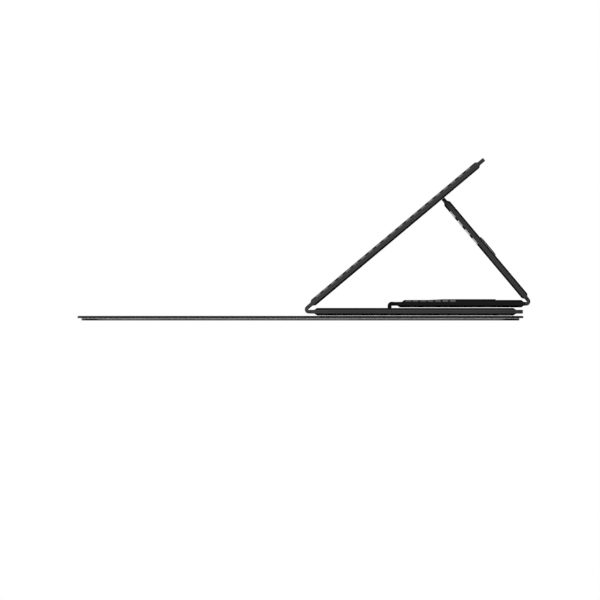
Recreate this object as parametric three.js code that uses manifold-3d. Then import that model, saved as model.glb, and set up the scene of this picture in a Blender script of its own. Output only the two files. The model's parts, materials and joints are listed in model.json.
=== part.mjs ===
// Tablet keyboard case: a thin keyboard base that carries a folding easel of stiff panels.
// Millimetres, +Z up. X runs from the typist's edge (-X) to the back edge (+X), Y runs along the keys.
// The origin is under the middle of the object, on the surface that it stands on.
import * as THREE from 'three';
import { mergeVertices } from 'three/addons/utils/BufferGeometryUtils.js';
import Module from 'manifold-3d';

// ---- driving dimensions -------------------------------------------------------------------------

const overall_length = 362.4; // front edge of the deck to the outside of the strut's fold
const base_width = 256; // deck, along the keys
const back_overhang = 5.7; // strut fold beyond the deck's back edge
const deck_corner = 18;
const deck_thickness = 1.86;
const deck_skin = 0.7; // the deck's top, over the hollow that holds the keys
const deck_wall = 5;
const tray_thickness = 1.425;
const tray_floor = 0.765;
const tray_wall = 1.2;
const tray_inset = 3.2; // tray edge inside the deck edge
const tray_corner = 16;
const shadow_gap = 0.32; // between tray and deck, closed by a gasket
const gasket_inset = 0.1; // gasket inside the tray's edge
const gasket_width = 1;
const foot_proud = 0.1; // foot strips below the tray
const foot_groove = 0.25; // depth of their grooves in the tray
const foot_side = 22; // deck's side to a strip's end
const foot_depth = 6;
const back_foot_depth = 10;
const foot_corner = 2;

const panel_thickness = 5.84; // skin to skin
const rim_thickness = 3.05; // the two skins pressed together round a panel's edge
const rim_width = 5.6; // along a panel's sides and at its free end
const base_fold_rim = 3.8; // and where a panel goes into a fold
const back_fold_rim = 3.7;
const leg_fold_rim = 1.3;
const strut_fold_rim = 1.7;
const strap_rim = 5.6; // leg's rim at the strap, on its face
const strap_rim_below = 2.1; // and on its underside
const tongue_rim = 3; // strut's rim at its tongue
const chamfer_width = 2; // slope from the rim up to the panel's face
const panel_corner = 20; // at a free end
const hinge_corner = 3; // at an end that goes into a fold
const board_edge = 2; // skin left round the stiffening board
const pad_thickness = 0.45; // grip pads lie in a step of the skin
const rib_height = 0.2;
const pad_border = 0.6; // panel's face left uncovered round its pad
const pad_side = 2; // and at each side of it, both sides together
const back_rib = 4.4;
const back_rib_pitch = 7.83;
const back_rib_start = 10.9; // fold line to the first rib
const leg_rib = 4.6;
const leg_rib_pitch = 5.94;
const leg_rib_start = 12.6; // strap to the first rib
const leg_rib_count = 7;
const strut_rib = 6.2;
const strut_rib_pitch = 9.2;
const strut_rib_count = 4;
const strut_rib_end = 11.4; // last rib to the end of the tongue
const wedge = { from: 31, full: 43, to: 84.9, height: 0.65 }; // swelling of the leg's pad
const tab_from = 44.3; // strut fold to its pull tab
const tab_length = 18.7;
const tab_height = 0.75;

const easel_width = 252; // base panel and back panel
const prop_width = 210; // leg and strut
const base_fold_x = 3.75; // fold line between base panel and back panel
const base_fold_inside = 0.275; // radius inside the fold
const strut_fold_inside = 0.275;
const back_angle = 40; // back panel above the table, degrees
const back_length = 184.8; // fold line to the free edge
const leg_span = 109.4; // strap to strut fold
const strap_radius = 1.6;
const strap_thickness = 3.2;
const strap_reach = 3.9; // from the strap's upright to the leg's rim

const key_units = 14.5; // a row's length in key widths
const side_margin = 7.65; // deck edge to the first key
const front_margin = 8;
const back_margin = 22; // last keys to the base fold
const trackpad_depth = 58;
const trackpad_width = 104;
const trackpad_gap = 4;
const key_gap = 2.6;
const function_share = 0.62; // depth of the function row in rows
const key_drop = 0.08; // key tops below the deck's face
const web_thickness = 0.3;
const web_drop = 1.15; // web's upper face below the deck's face

const battery_width = 90;
const board_size = [36, 60, 0.8];
const port_size = [9, 8, 2.3];
const port_mouth = [8, 6, 1.4];
const board_back = 18; // base fold to the controller board
const battery_back = 14; // controller board to the battery
const battery_end = 19.35; // battery to the tray's back wall
const port_back = 30; // base fold to the charging port
const sheet_overlap = 2; // membrane beyond the key field
const sheet_thickness = 0.25;
const ribbon_width = 18;
const ribbon_thickness = 0.15;
const slider_size = [2.6, 3.9];
const slider_travel = 2.5;
const slider_front = 13; // base fold to the slider
const slider_side = 34; // deck's side to the slider
const runner_border = [1, 1.5]; // runner round the slider's knob
const runner_thickness = 0.6;
const lens_radius = 1;
const lens_step = 12; // slider to status lens
const switch_radius = 3;
const switch_inset = 9; // trackpad's front edge to its switch
const screw_head = 1.6; // radii
const screw_shank = 0.7;
const boss_radius = 2.4;
const magnet_size = [10, 32, 2];
const magnet_inset = 3; // strut's magnets from the board's end
const back_magnet_inset = 24; // back panel's magnets from its free edge
const back_magnet_side = 4; // and beyond the ends of the dock plate
const strut_magnet_side = 40;
const dock_size = [14, 120, 1];

// clearances
const layer_gap = 0.05; // between sheets that lie on each other
const part_gap = 0.3; // between pieces that meet edge to edge
const key_clearance = 0.45;
const pad_clearance = 0.4;
const panel_gap = 0.5; // leg above base panel
const bond_gap = 0.4; // base panel above deck
const dock_gap = 0.3; // strut's tongue to the back panel
const seat_clearance = 0.15; // round a screw's head
const shank_clearance = 0.2;
const lens_clearance = 0.1;
const battery_clearance = 0.19; // under the deck's skin

const arc_steps = 6; // segments in a quarter turn

// ---- places worked out from them ---------------------------------------------------------------

const deck_front = -overall_length / 2;
const deck_back = overall_length / 2 - back_overhang;
const tray_bottom = foot_proud;
const tray_top = tray_bottom + tray_thickness;
const floor_top = tray_bottom + tray_floor;
const deck_bottom = tray_top + shadow_gap;
const deck_top = deck_bottom + deck_thickness;
const skin_bottom = deck_top - deck_skin;
const inside_floor = floor_top + layer_gap;

const half_rim = rim_thickness / 2;
const half_panel = panel_thickness / 2;
const base_fold_radius = base_fold_inside + half_rim; // to the middle of the fold's strip
const strut_fold_radius = strut_fold_inside + half_rim;
const base_mid = deck_top + bond_gap + half_panel;
const leg_mid = base_mid + panel_thickness + panel_gap;
const base_fold = new THREE.Vector2(base_fold_x, base_mid + base_fold_radius);
const strut_fold_x = overall_length / 2 - strut_fold_radius - half_rim;
const strut_fold = new THREE.Vector2(strut_fold_x, leg_mid + strut_fold_radius);
const strap_x = strut_fold.x - leg_span;
const back_tilt = THREE.MathUtils.degToRad(back_angle);
const strut_tilt = back_tilt + Math.PI / 2; // the strut meets the back panel square

// how far the strut reaches from its fold to the back panel's rear face
const fold_to_fold = new THREE.Vector2().subVectors(base_fold, strut_fold);
const back_normal = new THREE.Vector2(-Math.sin(back_tilt), Math.cos(back_tilt));
const strut_length = fold_to_fold.dot(back_normal) + base_fold_radius - half_panel - dock_gap;

// ---- shapes ------------------------------------------------------------------------------------

const wasm = await Module();
wasm.setup();

// a closed three.js geometry as a solid that can be joined and cut
function solid(geometry) {
  const bare = geometry.clone();
  bare.deleteAttribute('normal');
  bare.deleteAttribute('uv');
  const merged = mergeVertices(bare, 1e-5);
  return new wasm.Manifold(
    new wasm.Mesh({
      numProp: 3,
      vertProperties: new Float32Array(merged.attributes.position.array),
      triVerts: new Uint32Array(merged.index.array),
    }),
  );
}

// a solid back as a flat-shaded geometry
function geometryOf(body) {
  const mesh = body.getMesh();
  const geometry = new THREE.BufferGeometry();
  geometry.setAttribute('position', new THREE.BufferAttribute(new Float32Array(mesh.vertProperties), 3));
  geometry.setIndex(new THREE.BufferAttribute(new Uint32Array(mesh.triVerts), 1));
  const flat = geometry.toNonIndexed();
  flat.computeVertexNormals();
  return flat;
}

// rectangle seen from above, with one corner radius at its low-x end and one at its high-x end
function plate(x0, x1, width, low_corner, high_corner) {
  const shape = new THREE.Shape();
  const y = width / 2;
  const corners = [
    [x1, -y, high_corner, -1, 1, -Math.PI / 2],
    [x1, y, high_corner, -1, -1, 0],
    [x0, y, low_corner, 1, -1, Math.PI / 2],
    [x0, -y, low_corner, 1, 1, Math.PI],
  ];
  const points = [];
  for (const [cx, cy, r, sx, sy, start] of corners) {
    for (let n = 0; n <= arc_steps; n += 1) {
      const a = start + (n / arc_steps) * (Math.PI / 2);
      points.push(new THREE.Vector2(cx + sx * r + r * Math.cos(a), cy + sy * r + r * Math.sin(a)));
    }
  }
  shape.setFromPoints(points);
  return shape;
}

// rectangle with sharp corners
function rectangle(x0, x1, y0, y1) {
  return new THREE.Shape([
    new THREE.Vector2(x0, y0),
    new THREE.Vector2(x1, y0),
    new THREE.Vector2(x1, y1),
    new THREE.Vector2(x0, y1),
  ]);
}

// a shape seen from above, from height z0 to z1
function slab(shape, z0, z1) {
  return new THREE.ExtrudeGeometry(shape, { depth: z1 - z0, bevelEnabled: false }).translate(0, 0, z0);
}

function block(x0, x1, y0, y1, z0, z1) {
  const box = new THREE.BoxGeometry(x1 - x0, y1 - y0, z1 - z0);
  return box.translate((x0 + x1) / 2, (y0 + y1) / 2, (z0 + z1) / 2);
}

// a shape seen from the side (its x and z), extruded over a width centred on y = 0
function prism(shape, width) {
  return new THREE.ExtrudeGeometry(shape, { depth: width, bevelEnabled: false })
    .rotateX(Math.PI / 2)
    .translate(0, width / 2, 0);
}

function disc(x, y, radius, z0, z1) {
  return new THREE.CylinderGeometry(radius, radius, z1 - z0, 16)
    .rotateX(Math.PI / 2)
    .translate(x, y, (z0 + z1) / 2);
}

// side outline of a strip that turns round a fold: an arc about the fold line, with a short straight
// lead at each end. Angles in degrees; a falling angle turns clockwise.
function foldOutline(radius, half, from, to, lead) {
  const steps = Math.ceil(Math.abs(to - from) / 12);
  const turn = Math.sign(to - from);
  const outer = [];
  const inner = [];
  const along = (a, distance) => new THREE.Vector2(-Math.sin(a), Math.cos(a)).multiplyScalar(turn * distance);
  for (let n = 0; n <= steps; n += 1) {
    const a = THREE.MathUtils.degToRad(from + ((to - from) * n) / steps);
    const out = new THREE.Vector2(Math.cos(a), Math.sin(a));
    outer.push(out.clone().multiplyScalar(radius + half));
    inner.push(out.clone().multiplyScalar(radius - half));
  }
  const first = THREE.MathUtils.degToRad(from);
  const last = THREE.MathUtils.degToRad(to);
  for (const edge of [outer, inner]) {
    edge.unshift(edge[0].clone().add(along(first, -lead)));
    edge.push(edge[edge.length - 1].clone().add(along(last, lead)));
  }
  return new THREE.Shape([...outer, ...inner.reverse()]);
}

// ---- materials ---------------------------------------------------------------------------------

function finish(color, roughness, metalness = 0) {
  return new THREE.MeshStandardMaterial({ color, roughness, metalness });
}
const materials = {
  skin: finish(0x2b2b2c, 0.72),
  fold: finish(0x242425, 0.78),
  board: finish(0x6d6658, 0.9),
  pad: finish(0x8d8d8e, 0.65),
  deck: finish(0x343537, 0.5),
  tray: finish(0x7d7f82, 0.38, 0.85),
  key: finish(0x1c1c1e, 0.55),
  glass: finish(0x26272a, 0.2),
  sheet: finish(0x4d5a4f, 0.6),
  circuit: finish(0x1f4a33, 0.5),
  cell: finish(0x9a9ca0, 0.4, 0.3),
  steel: finish(0xa6a8ab, 0.35, 0.9),
  rubber: finish(0x18181a, 0.9),
  lens: finish(0xd8e2e0, 0.15),
  foam: finish(0xc4c4c0, 0.9),
};

const model = new THREE.Group();

function add(parent, name, geometry, material) {
  const mesh = new THREE.Mesh(geometry, material);
  mesh.name = name;
  parent.add(mesh);
  return mesh;
}

// ---- keyboard base -----------------------------------------------------------------------------

const screws = [
  [deck_front + 10.2, base_width / 2 - 12],
  [base_fold_x - 12, base_width / 2 - 12],
  [deck_back - 11.5, base_width / 2 - 16],
].flatMap(([x, y]) => [
  [x, -y],
  [x, y],
]);

const port_x = base_fold_x + port_back;
const port_front = base_width / 2 - tray_inset - part_gap;

// the tray's outline, taken in by `inset`
const trayPlate = (inset) =>
  plate(
    deck_front + tray_inset + inset,
    deck_back - tray_inset - inset,
    base_width - 2 * (tray_inset + inset),
    tray_corner - inset,
    tray_corner - inset,
  );

const feet = [
  ['foot_strip_front', deck_front + 20, foot_depth],
  ['foot_strip_middle', base_fold_x - 3, foot_depth],
  ['foot_strip_back', deck_back - 27, back_foot_depth],
];
const footPlate = (x, depth, gap) =>
  plate(x - gap, x + depth + gap, base_width - 2 * (foot_side - gap), foot_corner + gap, foot_corner + gap);

// pressed sheet pan with a low wall, screw seats, grooves for the foot strips and a notch for the
// charging port
let tray = solid(slab(trayPlate(0), tray_bottom, tray_top));
tray = tray.subtract(solid(slab(trayPlate(tray_wall), floor_top, tray_top + 1)));
for (const [x, y] of screws) {
  const seat = disc(x, y, screw_head + seat_clearance, tray_bottom - 1, tray_bottom + tray_floor / 2);
  const hole = disc(x, y, screw_shank + shank_clearance, tray_bottom - 1, floor_top + 1);
  tray = tray.subtract(solid(seat)).subtract(solid(hole));
}
for (const [, x, depth] of feet) {
  const groove = slab(footPlate(x, depth, part_gap), tray_bottom - 1, tray_bottom + foot_groove);
  tray = tray.subtract(solid(groove));
}
const port_notch = block(
  port_x - part_gap,
  port_x + port_size[0] + part_gap,
  port_front - port_size[1] - part_gap,
  base_width / 2 + 1,
  floor_top,
  inside_floor + port_size[2] + layer_gap,
);
tray = tray.subtract(solid(port_notch));
add(model, 'bottom_tray', geometryOf(tray), materials.tray);

// rubber foot strips in the grooves
for (const [name, x, depth] of feet) {
  const strip = slab(footPlate(x, depth, 0), 0, foot_proud + foot_groove - layer_gap);
  add(model, name, strip, materials.rubber);
}

// pale gasket ring that fills the gap between the tray's wall and the deck
const gasket_low = tray_top + layer_gap;
const gasket_high = deck_bottom - layer_gap;
const gasket_hole = trayPlate(gasket_inset + gasket_width);
const gasket = solid(slab(trayPlate(gasket_inset), gasket_low, gasket_high))
  .subtract(solid(slab(gasket_hole, gasket_low - 1, gasket_high + 1)))
  .subtract(solid(port_notch));
add(model, 'base_gasket', geometryOf(gasket), materials.foam);

// key field
const key_span = base_width - 2 * side_margin;
const key_unit = key_span / key_units;
const trackpad_front = deck_front + front_margin;
const field_front = trackpad_front + trackpad_depth + trackpad_gap;
const field_back = base_fold_x - back_margin;
const row_pitch = (field_back - field_front) / (5 + function_share);
const cap_top = deck_top - key_drop;
const web_top = deck_top - web_drop;

// each row: its name, its place from the front in rows, its depth in rows, where it starts and its key
// widths, both from the typist's left (+Y)
const same = (count, units) => new Array(count).fill(units);
const rows = [
  ['modifier_keys_left', 0, 1, 0, [1, 1, 1, 1.25]],
  ['space_bar', 0, 1, 4.25, [5]],
  ['modifier_keys_right', 0, 1, 9.25, [1.25, ...same(4, 1)]],
  ['lower_letter_keys', 1, 1, 0, [2.25, ...same(10, 1), 2.25]],
  ['home_letter_keys', 2, 1, 0, [1.75, ...same(11, 1), 1.75]],
  ['upper_letter_keys', 3, 1, 0, [1.5, ...same(13, 1)]],
  ['number_keys', 4, 1, 0, [...same(13, 1), 1.5]],
  ['function_keys', 5, function_share, 0, same(14, key_units / 14)],
];

// a row is one moulded web with its caps standing on it
function keyRow(place, depth, start, widths) {
  const x0 = field_front + place * row_pitch;
  const x1 = x0 + depth * row_pitch;
  const y1 = key_span / 2 - start * key_unit;
  const y0 = y1 - widths.reduce((sum, w) => sum + w, 0) * key_unit;
  const web_bottom = web_top - web_thickness;
  let row = solid(block(x0 + part_gap, x1 - part_gap, y0 + part_gap, y1 - part_gap, web_bottom, web_top));
  let y = y1;
  for (const w of widths) {
    const next = y - w * key_unit;
    const cap = block(
      x0 + key_gap / 2,
      x1 - key_gap / 2,
      next + key_gap / 2,
      y - key_gap / 2,
      web_top - web_thickness / 2,
      cap_top,
    );
    row = row.add(solid(cap));
    y = next;
  }
  return geometryOf(row);
}
for (const [name, place, depth, start, widths] of rows) {
  add(model, name, keyRow(place, depth, start, widths), materials.key);
}

// deck: a thin skin with a hollow under it, open over each row of keys and over the trackpad
const deck_outline = plate(deck_front, deck_back, base_width, deck_corner, deck_corner);
const deck_hollow = plate(
  deck_front + deck_wall,
  deck_back - deck_wall,
  base_width - 2 * deck_wall,
  deck_corner - deck_wall,
  deck_corner - deck_wall,
);
const slider_x = base_fold_x - slider_front;
const slider_y = base_width / 2 - slider_side;
const lens_y = slider_y - lens_step;
const row_well = key_gap / 2 - key_clearance;
const wells = [[0, 1], [1, 1], [2, 1], [3, 1], [4, 1], [5, function_share]].map(([place, depth]) => [
  field_front + place * row_pitch + row_well,
  field_front + (place + depth) * row_pitch - row_well,
  -key_span / 2 + row_well,
  key_span / 2 - row_well,
]);
wells.push([trackpad_front, trackpad_front + trackpad_depth, -trackpad_width / 2, trackpad_width / 2]);
wells.push([
  slider_x - slider_size[0] / 2 - part_gap,
  slider_x + slider_size[0] / 2 + part_gap,
  slider_y - part_gap,
  slider_y + slider_size[1] + slider_travel + part_gap,
]);
let deck = solid(slab(deck_outline, deck_bottom, deck_top)).subtract(
  solid(slab(deck_hollow, deck_bottom - 1, skin_bottom)),
);
for (const [x0, x1, y0, y1] of wells) {
  deck = deck.subtract(solid(block(x0, x1, y0, y1, skin_bottom - 1, deck_top + 1)));
}
for (const [x, y] of screws) {
  deck = deck.add(solid(disc(x, y, boss_radius, inside_floor, skin_bottom + deck_skin / 2)));
  deck = deck.subtract(solid(disc(x, y, screw_shank + layer_gap, inside_floor - 1, skin_bottom - layer_gap)));
}
const lens_hole = disc(slider_x, lens_y, lens_radius + lens_clearance, skin_bottom - 1, deck_top + 1);
deck = deck.subtract(solid(lens_hole));
deck = deck.subtract(solid(port_notch));
add(model, 'keyboard_deck', geometryOf(deck), materials.deck);

// glass trackpad on the deck's front half, on a tilting plate, over its switch
const trackpad_below = 0.5; // the plate under the deck's skin
const click_gap = 0.6; // over the switch
const switch_top = skin_bottom - trackpad_below - click_gap;
add(
  model,
  'trackpad',
  block(
    trackpad_front + pad_clearance,
    trackpad_front + trackpad_depth - pad_clearance,
    -trackpad_width / 2 + pad_clearance,
    trackpad_width / 2 - pad_clearance,
    skin_bottom - trackpad_below,
    cap_top,
  ),
  materials.glass,
);
add(
  model,
  'trackpad_switch',
  disc(trackpad_front + switch_inset, 0, switch_radius, inside_floor, switch_top),
  materials.steel,
);

// power slider: a knob in the deck's slot on a wider runner under the skin
const runner_top = skin_bottom - 2 * layer_gap;
const sliderBlock = (border_x, border_y, z0, z1) =>
  block(
    slider_x - slider_size[0] / 2 - border_x,
    slider_x + slider_size[0] / 2 + border_x,
    slider_y - border_y,
    slider_y + slider_size[1] + border_y,
    z0,
    z1,
  );
const runner = sliderBlock(...runner_border, runner_top - runner_thickness, runner_top);
const knob = sliderBlock(0, 0, runner_top - runner_thickness / 2, cap_top);
add(model, 'power_slider', geometryOf(solid(runner).add(solid(knob))), materials.key);
const lens = disc(slider_x, lens_y, lens_radius, skin_bottom - part_gap, cap_top);
add(model, 'status_lens', lens, materials.lens);

// electronics between tray and deck
const sheet_front = field_front - sheet_overlap;
const sheet_back = field_back + sheet_overlap;
const sheetAt = (z) => block(sheet_front, sheet_back, -key_span / 2, key_span / 2, z, z + sheet_thickness);
add(model, 'key_membrane', sheetAt(inside_floor), materials.sheet);
add(model, 'dome_sheet', sheetAt(inside_floor + sheet_thickness + layer_gap), materials.rubber);
const board_x = base_fold_x + board_back;
const ribbon = block(
  sheet_back + part_gap,
  board_x - part_gap,
  -ribbon_width / 2,
  ribbon_width / 2,
  inside_floor + layer_gap,
  inside_floor + layer_gap + ribbon_thickness,
);
add(model, 'ribbon_cable', ribbon, materials.sheet);
const board_top = inside_floor + board_size[2];
const board_y = board_size[1] / 2;
let circuit = solid(block(board_x, board_x + board_size[0], -board_y, board_y, inside_floor, board_top));
// chips: place on the board, length, width
const chips = [
  [9, -12, 9, 9],
  [22, 6, 7, 7],
  [8, 14, 5, 8],
];
const chip_height = 0.9;
const chip_foot = board_top - board_size[2] / 2;
for (const [x, y, length, width] of chips) {
  const x0 = board_x + x;
  circuit = circuit.add(solid(block(x0, x0 + length, y, y + width, chip_foot, board_top + chip_height)));
}
add(model, 'controller_board', geometryOf(circuit), materials.circuit);
const battery_x = board_x + board_size[0] + battery_back;
const battery = block(
  battery_x,
  deck_back - tray_inset - tray_wall - battery_end,
  -battery_width / 2,
  battery_width / 2,
  inside_floor,
  skin_bottom - battery_clearance,
);
add(model, 'battery_cell', battery, materials.cell);
const port = block(
  port_x,
  port_x + port_size[0],
  port_front - port_size[1],
  port_front,
  inside_floor,
  inside_floor + port_size[2],
);
const mouth_side = (port_size[0] - port_mouth[0]) / 2;
const mouth_low = (port_size[2] - port_mouth[2]) / 2;
const mouth = block(
  port_x + mouth_side,
  port_x + port_size[0] - mouth_side,
  port_front - port_mouth[1],
  port_front + 1,
  inside_floor + mouth_low,
  inside_floor + port_size[2] - mouth_low,
);
add(model, 'charging_port', geometryOf(solid(port).subtract(solid(mouth))), materials.steel);

screws.forEach(([x, y], n) => {
  const head = disc(x, y, screw_head, tray_bottom + layer_gap, tray_bottom + tray_floor / 2 - layer_gap);
  const shank = disc(x, y, screw_shank, tray_bottom + 2 * layer_gap, skin_bottom - part_gap);
  add(model, `tray_screw_${n + 1}`, geometryOf(solid(head).add(solid(shank))), materials.steel);
});

// ---- panels ------------------------------------------------------------------------------------

const least_corner = chamfer_width + 0.5; // so that the slope closes round a corner

// The part of a panel inside its rims: `ends` are the rim's widths at the low-x and the high-x end, and
// `more` is what is taken off beyond them all round.
function insideRims({ x0, x1, width, corners }, ends, more) {
  const [low, high] = corners.map((corner) => Math.max(corner - rim_width, least_corner));
  return plate(x0 + ends[0] + more, x1 - ends[1] - more, width - 2 * (rim_width + more), low, high);
}

// One moulded skin of a panel, on the +z side of the panel's middle. It has a flat rim all round and a
// chamfered rise to its face, and it is hollow behind the rise for the stiffening board, whose own ends
// are given too.
function skin(outline, ends, board_ends, rise) {
  const { x0, x1, width, corners } = outline;
  const rim = slab(plate(x0, x1, width, ...corners), layer_gap / 2, half_rim);
  const foot = insideRims(outline, ends, 0);
  const slope = rise - half_rim;
  const mound = new THREE.ExtrudeGeometry(foot, {
    depth: half_rim / 2,
    bevelEnabled: true,
    bevelThickness: slope,
    bevelSize: chamfer_width,
    bevelOffset: -chamfer_width,
    bevelSegments: 1,
  }).translate(0, 0, half_rim / 2);
  const above = slab(plate(x0 - 1, x1 + 1, width + 2, 1, 1), half_rim / 2, rise + 1);
  const hollow = slab(insideRims(outline, board_ends, board_edge), layer_gap / 2 - 1, half_rim - layer_gap);
  return solid(rim).add(solid(mound).intersect(solid(above))).subtract(solid(hollow));
}

const flip = (geometry) => geometry.rotateX(Math.PI);
const pad_step = pad_thickness + layer_gap + rib_height;
const pad_level = half_panel - pad_step + layer_gap;

// A panel: front skin on +z, back skin on -z and the stiffening board between, named after the panel.
// `front` and `back` hold each skin's end rims and its rise; `pockets` are boxes cut in the board.
function panel(group, name, outline, front, back, pockets) {
  const board_ends = front.ends.map((end, n) => Math.max(end, back.ends[n]));
  const front_skin = skin(outline, front.ends, board_ends, front.rise);
  add(group, `${name}_front_skin`, geometryOf(front_skin), materials.skin);
  const half_board = half_rim - 2 * layer_gap;
  let board = solid(slab(insideRims(outline, board_ends, board_edge + layer_gap), -half_board, half_board));
  for (const pocket of pockets) {
    board = board.subtract(solid(pocket));
  }
  add(group, `${name}_board`, geometryOf(board), materials.board);
  const back_skin = skin(outline, back.ends, board_ends, back.rise);
  add(group, `${name}_back_skin`, flip(geometryOf(back_skin)), materials.skin);
}

// Side outline of a grip pad, which lies in the step of the front skin: a thin sheet from x0 to x1 with
// low ribs on it, which may swell in a wedge towards its far end.
function gripOutline(x0, x1, ribs, swelling) {
  const rise = (x) => {
    if (!swelling || x <= swelling.from || x > swelling.to) {
      return pad_thickness;
    }
    const share = Math.min((x - swelling.from) / (swelling.full - swelling.from), 1);
    return pad_thickness + share * swelling.height;
  };
  const points = [[x0, pad_thickness]];
  for (let n = 0; n < ribs.count; n += 1) {
    const from = ribs.start + n * ribs.pitch;
    const to = from + ribs.width;
    points.push([from, rise(from)], [from, rise(from) + rib_height]);
    points.push([to, rise(to) + rib_height], [to, rise(to)]);
  }
  if (swelling) {
    points.push([swelling.to, rise(swelling.to)], [swelling.to, pad_thickness]);
  }
  points.push([x1, pad_thickness], [x1, 0], [x0, 0]);
  return new THREE.Shape(points.map(([x, z]) => new THREE.Vector2(x, z)));
}

// a grip pad on the face of a panel with that outline and those end rims
function gripPad(outline, ends, ribs, swelling) {
  const x0 = outline.x0 + ends[0] + chamfer_width + pad_border;
  const x1 = outline.x1 - ends[1] - chamfer_width - pad_border;
  const width = outline.width - 2 * (rim_width + chamfer_width + pad_border) - pad_side;
  return prism(gripOutline(x0, x1, ribs, swelling), width).translate(0, 0, pad_level);
}

function magnetPocket(x, y) {
  const half_x = magnet_size[0] / 2 + part_gap;
  const half_y = magnet_size[1] / 2 + part_gap;
  return block(x - half_x, x + half_x, y - half_y, y + half_y, -half_rim * 2, half_rim * 2);
}
function magnet(x, y) {
  const [length, width, height] = magnet_size;
  return block(x - length / 2, x + length / 2, y - width / 2, y + width / 2, -height / 2, height / 2);
}

const fold_lead = 0.5; // straight end of a fold strip
const rim_start = fold_lead + part_gap; // from a fold line to the panel's rim

const plain_rise = half_panel;
const ribbed_rise = half_panel - pad_step;

// base panel, bonded to the deck
const base_outline = {
  x0: rim_start,
  x1: deck_back - part_gap - base_fold.x,
  width: easel_width,
  corners: [hinge_corner, panel_corner],
};
const base_ends = [base_fold_rim, rim_width];
const base_panel = new THREE.Group();
base_panel.position.set(base_fold.x, 0, base_mid);
model.add(base_panel);
const base_skin = { ends: base_ends, rise: plain_rise };
panel(base_panel, 'base_panel', base_outline, base_skin, base_skin, []);

// two foam pads under its face, with a gap between them for the cable of the magnets' sensor
const bond_border = 0.2;
const bond_split = 4; // half of the gap
const bond_x0 = base_fold.x + base_outline.x0 + base_ends[0] + chamfer_width + bond_border;
const bond_x1 = base_fold.x + base_outline.x1 - base_ends[1] - chamfer_width - bond_border;
const bond_y = easel_width / 2 - rim_width - chamfer_width - bond_border;
const bond_pads = [
  ['bond_pad_near', -bond_y, -bond_split],
  ['bond_pad_far', bond_split, bond_y],
];
for (const [name, y0, y1] of bond_pads) {
  const pad = rectangle(bond_x0, bond_x1, y0, y1);
  add(model, name, slab(pad, deck_top + layer_gap, deck_top + bond_gap - layer_gap), materials.foam);
}

// back panel, which the tablet leans on
const back_outline = {
  x0: rim_start,
  x1: back_length,
  width: easel_width,
  corners: [hinge_corner, panel_corner],
};
const back_ends = [back_fold_rim, rim_width];
const back_panel = new THREE.Group();
back_panel.position.set(base_fold.x, 0, base_fold.y);
back_panel.rotation.y = -back_tilt;
model.add(back_panel);
const back_laminate = new THREE.Group();
back_laminate.position.z = base_fold_radius;
back_panel.add(back_laminate);
const back_along = new THREE.Vector2(Math.cos(back_tilt), Math.sin(back_tilt));
const dock_at = strut_fold_radius - fold_to_fold.dot(back_along);
const [dock_length, dock_width, dock_height] = dock_size;
const dockBlock = (gap, height) =>
  block(
    dock_at - dock_length / 2 - gap,
    dock_at + dock_length / 2 + gap,
    -dock_width / 2 - gap,
    dock_width / 2 + gap,
    -height / 2,
    height / 2,
  );
const back_magnet_y = dock_width / 2 + back_magnet_side + magnet_size[1] / 2;
const back_magnets = [
  ['back_magnet_near', back_length - back_magnet_inset, -back_magnet_y],
  ['back_magnet_far', back_length - back_magnet_inset, back_magnet_y],
];
panel(
  back_laminate,
  'back_panel',
  back_outline,
  { ends: back_ends, rise: ribbed_rise },
  { ends: back_ends, rise: plain_rise },
  [...back_magnets.map(([, x, y]) => magnetPocket(x, y)), dockBlock(part_gap, 4 * half_rim)],
);
for (const [name, x, y] of back_magnets) {
  add(back_laminate, name, magnet(x, y), materials.steel);
}
add(back_laminate, 'dock_plate', dockBlock(0, dock_height), materials.steel);
const back_pad_end = back_length - back_ends[1] - chamfer_width - pad_border;
const back_ribs = {
  start: back_rib_start,
  pitch: back_rib_pitch,
  width: back_rib,
  count: 1 + Math.floor((back_pad_end - back_rib_start - back_rib) / back_rib_pitch),
};
add(back_laminate, 'back_grip_pad', gripPad(back_outline, back_ends, back_ribs), materials.pad);

// fold strip between base panel and back panel, narrower than they are at each side
const strip_side = 2;
const base_strip = foldOutline(base_fold_radius, half_rim, 270, 90 + back_angle, fold_lead);
add(
  model,
  'base_fold_strip',
  prism(base_strip, easel_width - 2 * strip_side).translate(base_fold.x, 0, base_fold.y),
  materials.fold,
);

// leg, lying on the base panel and held by a strap
const leg_outline = {
  x0: strap_reach + part_gap,
  x1: leg_span - rim_start,
  width: prop_width,
  corners: [hinge_corner, hinge_corner],
};
const leg_ends = [strap_rim, leg_fold_rim];
const leg = new THREE.Group();
leg.position.set(strap_x, 0, leg_mid);
model.add(leg);
panel(
  leg,
  'leg',
  leg_outline,
  { ends: leg_ends, rise: ribbed_rise },
  { ends: [strap_rim_below, leg_fold_rim], rise: plain_rise },
  [],
);
const leg_ribs = {
  start: leg_rib_start,
  pitch: leg_rib_pitch,
  width: leg_rib,
  count: leg_rib_count,
};
add(leg, 'leg_grip_pad', gripPad(leg_outline, leg_ends, leg_ribs, wedge), materials.pad);

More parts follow.
